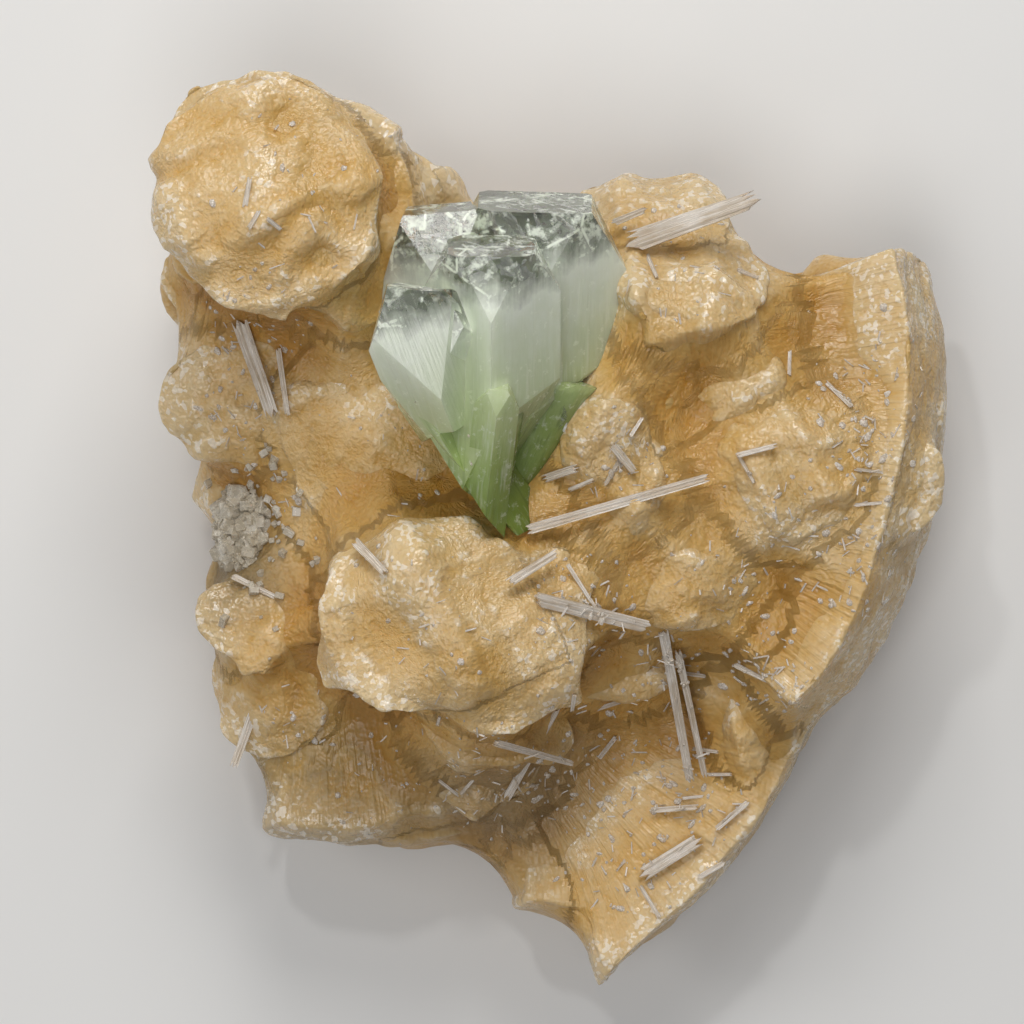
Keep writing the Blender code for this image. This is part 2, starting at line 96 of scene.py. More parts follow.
class Sheaf:
    """A fan of blades.

    ragged and stepped are how much its blades and its layers differ in length, flat_end is how straight the
    row of their ends is, and worn is how far its corners are rounded off. A tuft on another's end isn't whole.
    """

    def __init__(self, name, root, tip, across, spread, depth, waist, blades=5, layers=3, ragged=0.05,
                 stepped=0.05, flat_end=0.0, worn=0.6):
        self.name, self.root, tip = name, np.array(root, float), np.array(tip, float)
        self.whole = True
        self.reach = np.linalg.norm(tip - self.root)
        self.axis = unit(tip - self.root)
        self.side = unit(np.array(across) - self.axis * np.dot(across, self.axis))
        self.through = np.cross(self.axis, self.side)
        self.spread, self.depth, self.waist = math.radians(spread), math.radians(depth), waist
        self.flat_end, self.worn = flat_end, worn
        chance = random.Random(name)
        self.blade_ends = [chance.uniform(-ragged, ragged) for _ in range(blades + 1)]
        self.layer_ends = [chance.uniform(-stepped, stepped) for _ in range(layers + 1)]

    def shaped(self, block):
        """Turns the points of a cube of side 2 into the points of this sheaf."""
        x, y, z = block.T
        u, v = x * np.sqrt(1 - self.worn * y**2 / 2), y * np.sqrt(1 - self.worn * x**2 / 2)
        turn, rise = u * self.spread, v * self.depth
        ends = np.interp((x + 1) / 2, np.linspace(0, 1, len(self.blade_ends)), self.blade_ends)
        ends += np.interp((y + 1) / 2, np.linspace(0, 1, len(self.layer_ends)), self.layer_ends)
        end = self.reach * (1 + ends) / np.cos(turn) ** self.flat_end
        end *= 1 - 0.05 * self.worn * np.maximum(abs(u), abs(v)) ** 3
        ray = np.outer(np.cos(turn) * np.cos(rise), self.axis) + np.outer(np.sin(turn), self.side)
        ray += np.outer(np.sin(rise), self.through)
        out = self.root + ray * (end * (z + 1) / 2)[:, None]
        return out + np.outer(u * self.waist[0], self.side) + np.outer(v * self.waist[1], self.through)

    def tufts(self, size):
        """This sheaf worn round, and the smaller sheaves that stand out of its end, each its own way."""
        chance = random.Random(f"{self.name} tufts")
        wide, deep = self.reach * self.spread + self.waist[0], self.reach * self.depth + self.waist[1]
        made = [self]
        self.worn = 1.0
        for number in range(max(3, round(1.5 * wide * deep / size**2))):
            away, turn = math.sqrt(chance.random()), chance.uniform(0, 2 * math.pi)
            u, v = away * math.cos(turn), away * math.sin(turn)
            yaw, pitch = 0.82 * u * self.spread, 0.82 * v * self.depth
            way = self.axis * math.cos(yaw) * math.cos(pitch) + self.side * math.sin(yaw)
            way += self.through * math.sin(pitch)
            root = self.root + self.side * u * self.waist[0] * 0.8 + self.through * v * self.waist[1] * 0.8
            reach = self.reach * (1 - 0.03 * away) + chance.uniform(-0.5, 0.7)
            twist = chance.gauss(0, 0.7)
            across = self.side * math.cos(twist) + self.through * math.sin(twist)
            wider = math.degrees(math.atan(size * chance.uniform(0.7, 1.3) / reach))
            thinner = math.degrees(math.atan(size * chance.uniform(0.35, 0.7) / reach))
            tuft = Sheaf(f"{self.name} {number}", root, root + way * reach, across, wider, thinner, (0.5, 0.4),
                         5, 3, 0.01, 0.015, worn=0.7)
            tuft.whole = False
            made.append(tuft)
        return made

    def coordinates(self, places):
        """How far across, through and along the sheaf each place is, with 1 at its faces."""
        gap = places - self.root
        along = gap @ self.axis
        far = np.maximum(np.linalg.norm(gap, axis=1), 1e-6)
        ahead = np.maximum(along, 0.2 * far)
        across = gap @ self.side / (ahead * math.tan(self.spread) + self.waist[0])
        through = gap @ self.through / (ahead * math.tan(self.depth) + self.waist[1])
        return np.stack([across, through, far / self.reach], axis=1)


def scattered(cell, seed):
    """Three random numbers from 0 to 1 for each cell of a lattice, the same at every run."""
    mixed = (cell[:, 0] * 73856093) ^ (cell[:, 1] * 19349663) ^ (cell[:, 2] * 83492791) ^ (seed * 2654435761)
    numbers = []
    for turn in range(3):
        mixed = (mixed ^ (mixed >> 15)) * 2246822519 + turn * 3266489917 & 0xFFFFFFFF
        numbers.append(mixed / 0xFFFFFFFF)
    return np.stack(numbers, axis=1)


def waves(places, seed):
    """Three smooth random fields from -1 to 1, whose hills are one unit across."""
    low = np.floor(places).astype(np.int64)
    part = places - low
    part = part * part * (3 - 2 * part)
    total = np.zeros((len(places), 3))
    for corner in itertools.product((0, 1), repeat=3):
        weight = np.prod(np.where(np.array(corner) == 1, part, 1 - part), axis=1)
        total += weight[:, None] * scattered(low + np.array(corner), seed)
    return total * 2 - 1


def plates(places, seed):
    """Random cells one unit across: each place's cell has a number from -1 to 1, and a middle some way off."""
    low = np.floor(places).astype(np.int64)
    nearest = np.full(len(places), 9.0)
    height = np.zeros(len(places))
    for corner in itertools.product((-1, 0, 1), repeat=3):
        cell = low + np.array(corner)
        spot = scattered(cell, seed)
        gap = ((cell + spot - places) ** 2).sum(axis=1)
        closer = gap < nearest
        nearest[closer], height[closer] = gap[closer], spot[closer, 0] * 2 - 1
    return height, np.sqrt(nearest)


def blurred(mesh, values, rounds):
    """Values over a mesh's points, each averaged with its neighbours again and again."""
    edges = np.zeros(len(mesh.edges) * 2, np.int64)
    mesh.edges.foreach_get("vertices", edges)
    a, b = edges.reshape(-1, 2).T
    count = (np.bincount(a, minlength=len(values)) + np.bincount(b, minlength=len(values)) + 1)[:, None]
    for _ in range(rounds):
        total = values.copy()
        for column in range(values.shape[1]):
            total[:, column] += np.bincount(a, weights=values[b, column], minlength=len(values))
            total[:, column] += np.bincount(b, weights=values[a, column], minlength=len(values))
        values = total / count
    return values


def normals_of(mesh):
    ways = np.zeros(len(mesh.vertices) * 3)
    mesh.vertices.foreach_get("normal", ways)
    return ways.reshape(-1, 3)


def keep(mesh, name, values):
    """Stores values on the points of a mesh for its material to read."""
    values = np.asarray(values, np.float32)
    kind, field = ("FLOAT", "value") if values.ndim == 1 else ("FLOAT_VECTOR", "vector")
    mesh.attributes.new(name, kind, "POINT").data.foreach_set(field, values.ravel())


def select_only(piece):
    bpy.ops.object.select_all(action="DESELECT")
    piece.select_set(True)
    bpy.context.view_layer.objects.active = piece


def gathered(name, template, shapes):
    """One mesh of many copies of a template's faces, each with its own points. The template goes."""
    faces = [tuple(polygon.vertices) for polygon in template.data.polygons]
    count = len(template.data.vertices)
    mesh = bpy.data.meshes.new(name)
    mesh.from_pydata(np.concatenate(shapes), [],
                     [tuple(n + count * k for n in face) for k in range(len(shapes)) for face in faces])
    bpy.data.objects.remove(template, do_unlink=True)
    made = bpy.data.objects.new(name, mesh)
    bpy.context.scene.collection.objects.link(made)
    select_only(made)
    return made


def tufted(sheaves, size=3.6):
    """Sheaves with the smaller ones on their ends, apart from those that are thin plates."""
    return [part for sheaf in sheaves for part in ([sheaf] if sheaf.name in PLATES else sheaf.tufts(size))]


def rounded(block, centre, size):
    """The points of a cube made into a rough rounded mass."""
    ball = block / np.linalg.norm(block, axis=1)[:, None]
    rough = 1 + 0.13 * waves(ball * 1.7 + np.array(centre), 3)[:, :1]
    return np.array(centre) + np.array(size) * ball * rough


def grown(name, sheaves, rocks=(), voxel=VOXEL, relief=0.6, bumps=0.18, uneven=0.6, closed=1.8, sunk=0.0):
    """One closed mass of sheaves and rock, with the ends and edges of its blades raised on its surface.

    relief, bumps and uneven are how high its ledges, its knobbly grain and its broad swells are. Valleys
    narrower than twice closed are filled, and sunk is how far the whole lies in under the other masses.
    """
    block = add_block(12)
    net = points_of(block.data)
    shapes = [sheaf.shaped(net) for sheaf in sheaves] + [rounded(net, *rock) for rock in rocks]
    mass = gathered(name, block, shapes)
    bpy.ops.object.mode_set(mode="EDIT")
    bpy.ops.mesh.select_all(action="SELECT")
    bpy.ops.mesh.normals_make_consistent(inside=False)
    bpy.ops.object.mode_set(mode="OBJECT")
    one_skin(mass, voxel)
    set_points(mass.data, points_of(mass.data) + closed * normals_of(mass.data))
    one_skin(mass, voxel)
    set_points(mass.data, blurred(mass.data, points_of(mass.data), 2))
    set_points(mass.data, points_of(mass.data) - (closed + sunk) * normals_of(mass.data))
    raise_blades(mass.data, [sheaf for sheaf in sheaves if sheaf.whole], relief, bumps, uneven)
    dressed(mass, stilbite, "peach_stilbite", "stilbite_matrix")
    select_only(mass)
    bpy.ops.object.shade_smooth_by_angle(angle=math.radians(50))
    return mass


def one_skin(mass, voxel):
    """Joins all that runs through each other into one closed skin."""
    remesh = mass.modifiers.new("one skin", "REMESH")
    remesh.mode, remesh.voxel_size = "VOXEL", voxel
    bpy.ops.object.modifier_apply(modifier=remesh.name)


LEDGE, FINE_BLADE = np.array([4.2, 1.9, 9]), np.array([1.3, 0.8, 6])
RIBS = 0.14
DEEPEST = 1.2


def raise_blades(mesh, sheaves, relief, bumps, uneven):
    """Raises ledges, ribs and bumps, and keeps the grain of the nearest sheaf and how hollow each place is.

    LEDGE and FINE_BLADE are how wide, thick and long they are, RIBS is how high the fine blades stand, and a
    hollow of DEEPEST counts as full.
    """
    places = points_of(mesh)
    owner_distance = np.full(len(places), 1e9)
    grain = places.copy()
    for sheaf in sheaves:
        local = sheaf.coordinates(places)
        distance = abs(local).max(axis=1)
        mine = distance < owner_distance
        owner_distance[mine] = distance[mine]
        size = np.array([sheaf.spread, sheaf.depth, 1]) * sheaf.reach
        grain[mine] = (local * size)[mine]
    smooth = blurred(mesh, places, 12)
    set_points(mesh, smooth)
    outwards = normals_of(mesh)
    bent = grain + 2.4 * waves(places / 6, 5) + 0.5 * waves(places / 2, 6)
    ledges = waves(bent / LEDGE, 7)[:, 0]
    fine, _ = plates(bent / FINE_BLADE, 8)
    lift = relief * ledges + RIBS * fine
    lift += bumps * waves(places / 3.4, 9)[:, 0] + 0.35 * bumps * waves(places / 1.2, 10)[:, 0]
    lift = blurred(mesh, lift[:, None], 3)[:, 0]
    raised = smooth + outwards * lift[:, None] + uneven * waves(places / 8, 11)
    raised[:, 2] = np.maximum(raised[:, 2], 0)
    set_points(mesh, raised)
    hollow = ((blurred(mesh, raised, 25) - raised) * normals_of(mesh)).sum(axis=1)
    keep(mesh, "grain", grain)
    keep(mesh, "hollow", np.clip(hollow / DEEPEST, -1, 1))
    set_points(mesh, raised * MM)


class Field:
    """What one socket of a material's nodes gives over the surface. Sums and products of fields make nodes."""

    def __init__(self, finish, socket):
        self.finish, self.socket = finish, socket

    def __add__(self, other):
        return self.finish.maths("ADD", self, other)

    def __sub__(self, other):
        return self.finish.maths("SUBTRACT", self, other)

    def __rsub__(self, other):
        return self.finish.maths("SUBTRACT", other, self)

    def __mul__(self, other):
        return self.finish.maths("MULTIPLY", self, other)

    __radd__, __rmul__ = __add__, __mul__


class Finish:
    """A material and what its nodes are made with."""

    def __init__(self, name):
        self.material = bpy.data.materials.new(name)
        self.material.use_nodes = True
        self.tree = self.material.node_tree
        self.tree.nodes.clear()

    def node(self, kind, settings=None, sockets=None, out=0):
        """Adds a node with its settings, then its socket values or links, and returns one of its outputs."""
        made = self.tree.nodes.new(kind)
        for setting, value in (settings or {}).items():
            if setting == "stops":
                ramp = made.color_ramp.elements
                for place, colour in value[1:-1]:
                    ramp.new(place).color = (*colour, 1)
                for element, (place, colour) in zip(ramp, value):
                    element.position, element.color = place, (*colour, 1)
            else:
                setattr(made, setting, value)
        for socket, value in (sockets or {}).items():
            if isinstance(value, Field):
                self.tree.links.new(value.socket, made.inputs[socket])
            else:
                made.inputs[socket].default_value = value
        return Field(self, made.outputs[out]) if len(made.outputs) else made

    def maths(self, operation, *values):
        return self.node("ShaderNodeMath", {"operation": operation}, dict(enumerate(values)))

    def noise(self, place, scale, detail=3.0, roughness=0.5, stretch=None):
        if stretch:
            place = self.node("ShaderNodeMapping", {}, {"Vector": place, "Scale": stretch})
        sockets = {"Vector": place, "Scale": scale, "Detail": detail, "Roughness": roughness}
        return self.node("ShaderNodeTexNoise", {}, sockets)

    def between(self, value, low, high, start=0.0, end=1.0):
        """value, where low becomes start and high becomes end, and no further."""
        sockets = {"Value": value, "From Min": low, "From Max": high, "To Min": start, "To Max": end}
        return self.node("ShaderNodeMapRange", {"clamp": True}, sockets)

    def blend(self, share, first, second):
        """Two colours mixed by share."""
        first, second = (shade if isinstance(shade, Field) else (*shade, 1) for shade in (first, second))
        return self.node("ShaderNodeMix", {"data_type": "RGBA"}, {0: share, 6: first, 7: second}, out=2)

    def ramp(self, share, *stops):
        """The colour that share has on a row of stops."""
        return self.node("ShaderNodeValToRGB", {"stops": stops}, {"Fac": share})

    def position(self):
        return self.node("ShaderNodeTexCoord", out="Object")

    def kept(self, name, out="Fac"):
        return self.node("ShaderNodeAttribute", {"attribute_name": name}, out=out)

    def split(self, vector):
        """The three parts of a vector."""
        parts = self.node("ShaderNodeSeparateXYZ", {}, {0: vector}).socket.node
        return [Field(self, socket) for socket in parts.outputs]

    def near(self, place, spot, reach, most):
        """most around a spot given in millimetres, and less with distance, down to nothing."""
        places = {0: place, 1: Vector(spot) * MM}
        apart = self.node("ShaderNodeVectorMath", {"operation": "DISTANCE"}, places, out=1)
        return self.between(apart, 1.25 * reach * MM, 0.5 * reach * MM, 0, most)

    def bump(self, height, depth, strength=1.0):
        return self.node("ShaderNodeBump", {}, {"Height": height, "Distance": depth, "Strength": strength})

    def shader(self, **values):
        sockets = {name.replace("_", " "): value for name, value in values.items()}
        return self.node("ShaderNodeBsdfPrincipled", {"subsurface_method": "BURLEY"}, sockets)

    def ends_in(self, surface, volume=None):
        """The material, which is done once it has its surface."""
        ends = {"Surface": surface, "Volume": volume} if volume else {"Surface": surface}
        self.node("ShaderNodeOutputMaterial", {}, ends)
        return self.material


def stilbite_finish(deep, body, pale):
    """Waxy, pearly blades, paler on their edges and where they stand high, deeper orange, dusty and dark in
    the hollows and under the higher masses: partly their own colour and dust, partly painted light and shade.
    The pale flecks on the pearly patches are painted glints.
    """
    finish = Finish("peach_stilbite")
    place, grain = finish.position(), finish.kept("grain", "Vector")
    hollow, sunk = finish.kept("hollow"), finish.kept("sunk")
    lines = finish.noise(grain, 1.0, 1, 0.6, (2.4, 2.4, 0.1))
    broad, small = finish.noise(place, 95, 1, 0.6), finish.noise(place, 560, 2, 0.7)
    tone = 0.62 + 1.0 * (broad - 0.5) + 0.5 * (small - 0.5) + 0.35 * (lines - 0.5)
    # Deeper orange in the hollows and where a place lies under the higher masses, paler where it stands out:
    # partly the stilbite's own colour, partly painted light and shade.
    tone = tone - 0.65 * hollow - 0.25 * sunk
    colour = finish.ramp(tone, (0.0, deep), (0.45, body), (0.95, pale))
    # Dark brown in the hollows and under the higher masses: partly dust, partly painted shade.
    dust_and_shade = finish.between(hollow + 0.7 * sunk + 0.5 * (small - 0.5), 0.5, 1.2, 0, 0.3)
    colour = finish.blend(dust_and_shade, colour, (0.27, 0.18, 0.095))
    patchy = finish.between(small + hollow, 0.3, 0.7, 0.5, 1)
    # Dark patches: some are dust on the rock, and those on the low fan and the inner crescent are painted
    # shade.
    for spot, reach, most, patch_colour in DUST_AND_SHADE_PATCHES:
        colour = finish.blend(finish.near(place, spot, reach, most) * patchy, colour, patch_colour)
    # The pale flecks on the pearly patches are painted glints in the colour.
    cells = finish.node("ShaderNodeTexVoronoi", {}, {"Vector": grain, "Scale": 2.4}, out=1)
    pearly = finish.between(broad + 0.6 * (small - 0.5) - 0.6 * hollow - 0.25 * sunk, 0.56, 0.70)
    glint = finish.between(finish.split(cells)[0], 0.72, 0.80, 0, 0.6) * pearly
    colour = finish.blend(glint, colour, (0.86, 0.79, 0.68))
    glossy = finish.between(small - 0.4 * pearly, 0.1, 0.75, 0.16, 0.48)
    return finish.ends_in(finish.shader(
        Base_Color=colour, Roughness=glossy, Normal=finish.bump(0.5 * lines + small, 0.0004), IOR=1.5,
        Subsurface_Weight=0.25, Subsurface_Radius=(1.0, 0.55, 0.22), Subsurface_Scale=0.003))


stilbite = stilbite_finish(**PEACH)


def dressed(piece, material, slot, *replaced):
    """Gives a piece its material, and says what it rides on and the solids it stands for. slot is not used."""
    piece.data.materials.clear()
    piece.data.materials.append(material)
    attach(piece, "root")
    if replaced:
        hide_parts(*replaced)


KNOB = [
    Sheaf("knob_main", (-30, 32.5, 22), (-30.5, 35, 42), (0.94, 0.34, 0), 33, 32, (2, 2), 7, 5),
    Sheaf("knob_back_left", (-31, 33.5, 16), (-35.5, 37.5, 28), (0.55, 0.83, 0), 32, 10, (2, 2), 6),
    Sheaf("knob_right_plate", (-28.5, 28.5, 18), (-18.5, 31.5, 33), (0.25, 0.97, 0), 30, 12, (2, 2), 6),
    Sheaf("knob_top", (-31, 34, 18), (-31, 43.5, 32), (1, 0.1, 0.2), 28, 14, (2, 2), 6),
    Sheaf("knob_left_tip", (-33, 32.5, 20), (-38.5, 32, 29), (0.1, 0.9, -0.2), 26, 14, (2, 2), 6),
    Sheaf("knob_lower", (-27.5, 31, 14), (-26, 22, 27), (1, 0.25, 0.1), 34, 16, (2, 2), 5),
    Sheaf("knob_lower_left", (-31, 30, 10), (-36, 24, 24), (0.8, -0.6, 0), 26, 14, (2, 2)),
    Sheaf("plate_top", (-28.5, 45.5, 24), (-17, 39.5, 26), (0.45, 0.9, 0), 5, 3, (2.2, 1.8), 3, 2),
    Sheaf("shoulder_plate", (-18.5, 33.5, 16), (-15.5, 38.5, 22), (0.9, -0.5, 0), 16, 8, (2.5, 2), 4, 2),
    Sheaf("shoulder_thin", (-17, 32, 14), (-9.5, 35.5, 19), (0.4, -0.9, 0), 10, 6, (2, 1.5), 3, 2),
]
knob = grown("stilbite_knob", tufted(KNOB), rocks=[((-30, 31, 9), (8, 11, 11))])


# The broken left side, with the long flank of fans below the knob and the fans of the lower left edge.
# The fans at the edge are thinner and darker, and end in a ragged row of blades.

LEFT = [
    Sheaf("left_wedge", (-32, 26, 13), (-40.5, 26.5, 20), (0.3, 0.95, 0), 20, 12, (2, 2)),
    Sheaf("left_edge_plate", (-28, 18, 11), (-36.5, 18, 20), (0, 1, 0.1), 34, 12, (3, 2), 6),
    Sheaf("left_block", (-31, 15.5, 8), (-34, 12.5, 26), (1, 0.2, 0.15), 22, 16, (2.5, 2)),
    Sheaf("left_shards", (-28, 8, 7), (-36, 7, 17), (0.1, 0.9, 0.3), 24, 12, (3, 2)),
    Sheaf("left_lump", (-26, -8, 7), (-33, -8, 17), (0, 1, 0), 30, 24, (3, 2)),
    Sheaf("left_sheaf", (-26, -16.5, 8), (-31, -17.5, 20), (0.1, 1, 0), 27, 25, (3, 2)),
    Sheaf("left_sheaf_tip", (-30, -13.5, 10), (-31.5, -10, 23), (1, 0.2, 0), 20, 14, (2.5, 2)),
]
left = grown("stilbite_left_side", tufted(LEFT))

FLANK = [
    Sheaf("flank_upper", (-19, 9, -2), (-18.5, 10, 29), (0.8, 0.57, 0), 20, 20, (1, 1), 6, 4),
    Sheaf("flank_mid", (-17, 2.5, 0), (-16, 3, 27), (0.8, 0.57, 0), 20, 16, (1, 1), 6, 3),
    Sheaf("fan_outer_left", (-24.5, 0, 12), (-20, -34.5, 11), (1, 0.1, 0), 14, 4, (3.5, 6), 8, 2),
    Sheaf("fan_far_left", (-25.5, -9, 8), (-25.5, -30, 10), (1, 0.1, 0), 12, 6, (2, 4), 6, 2),
    Sheaf("fan_lower_edge", (-13.5, -14.5, 6), (-11.5, -37, 9), (1, 0.1, 0), 11, 6, (2.5, 4), 6, 2),
    Sheaf("knob_centre", (-11, -13.5, 2), (-13, -10, 38), (0.9, 0.4, 0), 17, 15, (1.5, 1.5), 8, 4),
    Sheaf("knob_centre_right", (-5.5, -13.5, 4), (-4, -13, 36), (0.5, 0.86, 0), 18, 12, (1.5, 1.5), 5, 3),
    Sheaf("knob_centre_lower", (-7.5, -18, 6), (-7, -22, 26), (1, -0.2, 0), 18, 10, (1.5, 1.5), 5, 3),
    Sheaf("foot_plate", (-3, -4.5, 8), (-1.5, -1.5, 31), (0.9, 0.4, 0), 11, 16, (1.5, 1.5), 4, 3),
]
flank = grown("stilbite_flank", tufted(FLANK, 4.6), relief=0.3)


# The upright blades to the right of the apophyllite and the fan that stands at the top.
# They grew towards the viewer, so that their ends and edges catch the light.

TOP = [
    Sheaf("blade_beside_apophyllite", (6, 8, 10), (5.5, 9, 33), (0.8, -0.6, 0), 8, 10, (0.6, 1), 3, 2),
    Sheaf("blade_stepped", (9.5, 2, 10), (9, 3, 32), (0.9, 0.4, 0), 9, 13, (1, 1), 4, 3),
    Sheaf("blade_narrow", (9.5, 13.5, 8), (9, 14.5, 30), (0.6, 0.8, 0), 8, 12, (1.5, 1.5), 3, 3),
    Sheaf("blade_low", (15, 8, 8), (14.5, 8, 26), (0.8, 0.6, 0), 8, 10, (1, 1.5), 3, 3),
    Sheaf("top_fan", (15.5, 9, 10), (15.5, 27.5, 30), (1, -0.15, 0), 15.5, 13, (1.5, 2.5), 8, 3),
    Sheaf("top_fan_back", (12.5, 14, 10), (11, 35, 22), (1, 0, 0), 18, 12, (1.5, 2.5), 6, 3),
    Sheaf("lump_under_fan", (20, 13.5, 8), (19.5, 15, 29), (1, 0.3, 0), 14, 14, (1.5, 1.5), 5, 3),
    Sheaf("lump_in_notch", (25, 13.5, 6), (25.5, 18.5, 20), (1, 0, 0), 18, 14, (1.5, 1.5), 5, 3),
]
top_fan = grown("stilbite_top_fan", tufted(TOP))


# The great crescent fan of the right edge, with the lower masses that stand on it.
# Its rim is one long curve, because all its blades grew from one point to the same length.

CRESCENT = [
    Sheaf("crescent", (-6, 13, 3), (40.3, 2.8, 23), (0.21, 0.98, 0), 29, 6, (1, 2), 14, 3, 0.008, 0.02,
          worn=0.1),
    Sheaf("crescent_tip_back", (34, 19, 8), (32, 27, 16), (1, 0, 0), 16, 12, (1.5, 2), 4, 2),
]
crescent = grown("stilbite_crescent", tufted(CRESCENT), relief=0.25)

MASSES = [
    Sheaf("crescent_lobe", (22, 1, 8), (29.5, -14.5, 21), (0.85, 0.5, 0), 14, 12, (2, 3), 5, 3),
    Sheaf("mass_high", (25, 3.5, 4), (26, 5, 31), (0.9, 0.4, 0), 15, 14, (1.5, 1.5), 6, 3),
    Sheaf("mass_inner", (20, -1, 8), (19, 0, 27), (0.9, -0.4, 0), 10, 12, (1.5, 1.5), 5, 3),
    Sheaf("mass_low", (14.5, -8, 4), (13.5, -5.5, 29), (0.93, -0.36, 0), 18, 12, (2, 1.5), 5, 3),
    Sheaf("mass_right_low", (28.5, -10, 4), (28, -8, 24), (0.8, 0.6, 0), 12, 15, (1.5, 1.5), 5, 3),
    Sheaf("mass_on_crescent", (35, 3.5, 6), (37.5, 4, 28), (0.3, 0.95, 0), 13, 12, (1.5, 1.5), 5, 3),
]
masses = grown("stilbite_masses", tufted(MASSES))


# The lower sheaf, whose straight rim is the lower right edge, and the rough corner beside it.
# Its blades grew side by side from one point near the middle, and lie flat over the rock.

LOWER = [
    Sheaf("lower_sheaf", (-0.5, -21, 11), (20, -38, 14), (0.64, 0.77, 0), 34.5, 6, (3, 3), 10, 3, 0.01, 0.02,
          flat_end=0.63, worn=0.4),
    Sheaf("lower_sheaf_left", (0.5, -24, 8), (3.6, -43, 11), (1, 0.12, 0), 14, 8, (3, 3.5), 6, 2),
    Sheaf("lower_sheaf_right", (15, -20, 8), (25, -20, 19), (0.1, 1, 0), 20, 12, (4, 2), 5, 3),
    Sheaf("brown_lump", (6, -17, 6), (5.5, -14.5, 24), (1, 0, 0), 14, 12, (2, 1.5), 4, 3),
    Sheaf("rough_corner", (-7.5, -27, 2), (-8.5, -25.5, 20), (1, -0.3, 0), 20, 15, (2, 1.5), 5, 3, 0.08),
    Sheaf("rough_corner_low", (-3, -31.5, 2), (-5, -32.5, 15), (1, 0, 0), 20, 18, (2, 1.5), 5, 3, 0.08),
]
lower = grown("stilbite_lower_sheaf", tufted(LOWER), relief=0.34)


# The massive stilbite between and behind the sheaves, where the specimen broke from the wall of its cavity.
# It fills the valleys, and its surface is a crust of grains too small to make blades.
# A rock is given as its middle, then half its size.

ROCKS = [
    ((-26, 0, 7), (10, 28, 9)), ((0, -6, 7), (23, 31, 9)), ((21, 2, 7), (15, 19, 11)),
    ((10, -6, 9), (17, 14, 14)), ((-6, 19, 7), (20, 13, 9)), ((14, 19, 8), (10, 13, 11)),
    ((-20, 3, 10), (13, 22, 17)), ((25, 8, 9), (12, 12, 13)), ((-2, -22, 8), (12, 12, 12)),
    ((-21, -14, 8), (9, 14, 13)), ((24, -9, 8), (11, 10, 12)),
]
between = grown("stilbite_between", KNOB + LEFT + FLANK + TOP + CRESCENT + MASSES + LOWER, ROCKS,
                voxel=0.66, relief=0.3, bumps=0.26, uneven=0.4, closed=5.0, sunk=0.2)


SQUARE = 0.5
EDGE_SQUARES = 16
FULLY_SUNK = 7


def height_map(pieces):
    """The top of the pieces over a net of squares, blurred over about 5 all round, and where its corner is."""
    places = np.concatenate([points_of(piece.data) / MM for piece in pieces])
    corner = places[:, :2].min(axis=0) - EDGE_SQUARES * SQUARE
    cell = ((places[:, :2] - corner) / SQUARE).astype(int)
    top = np.zeros(cell.max(axis=0) + EDGE_SQUARES + 1)
    np.maximum.at(top, (cell[:, 0], cell[:, 1]), places[:, 2])
    for _ in range(12):
        padded = np.pad(top, 2, mode="edge")
        rows = sum(padded[k:k + top.shape[0]] for k in range(5)) / 5
        top = sum(rows[:, k:k + top.shape[1]] for k in range(5)) / 5
    return top, corner


# How far each place lies under the blurred top of all the stilbite. The stilbite's material darkens such
# places as painted shade.
masses_of_stilbite = [knob, left, flank, top_fan, crescent, masses, lower, between]
top, corner = height_map(masses_of_stilbite)
for piece in masses_of_stilbite:
    spots = points_of(piece.data) / MM
    cell = ((spots[:, :2] - corner) / SQUARE).astype(int)
    keep(piece.data, "sunk", np.clip((top[cell[:, 0], cell[:, 1]] - spots[:, 2]) / FULLY_SUNK, -1, 1))


# The apophyllite: square prisms with four steep pyramid faces over their edges and a small flat end.
# They are glass clear at their ends, and turn milky green towards the root that they share.
# A crystal is given as top, long axis, half its width, and how far it is clear below its top.

CRYSTALS = (
    ((-1.2, 34.3, 32), (0.03, 0.96, 0.27), 7.4, 5.0),
    ((-6, 29, 42), (0, 0.94, 0.34), 5.2, 4.0),
    ((-12, 33.5, 33), (-0.06, 0.97, 0.22), 5.3, 6.5),
    ((-16.1, 25.4, 46), (-0.25, 0.66, 0.71), 6.3, 3.0),
    ((-11.3, 23.5, 46), (0, 0.7, 0.7), 3.4, 3.0),
    ((-5.2, 14.2, 43.4), (0.1, 0.85, 0.5), 1.7, -13.0),
    ((-17.5, 17.5, 37), (-0.5, 0.8, 0.3), 4.2, -8.0),
    ((1.8, 13, 33), (0.5, 0.75, 0.4), 1.6, 30.0),
)
PYRAMID_ANGLE = math.radians(60.4)


def copied(node, name):
    """A copy of a CAD node's shape with its triangles joined into flat faces."""
    made = bpy.data.objects.new(name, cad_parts[node].data.copy())
    bpy.context.scene.collection.objects.link(made)
    select_only(made)
    bpy.ops.object.mode_set(mode="EDIT")
    bpy.ops.mesh.select_all(action="SELECT")
    bpy.ops.mesh.remove_doubles(threshold=0.003 * MM)
    bpy.ops.mesh.dissolve_limited(angle_limit=math.radians(0.6))
    bpy.ops.object.mode_set(mode="OBJECT")
    return made


TILT_COUNTS, DISTANCE_COUNTS = 12, 0.12


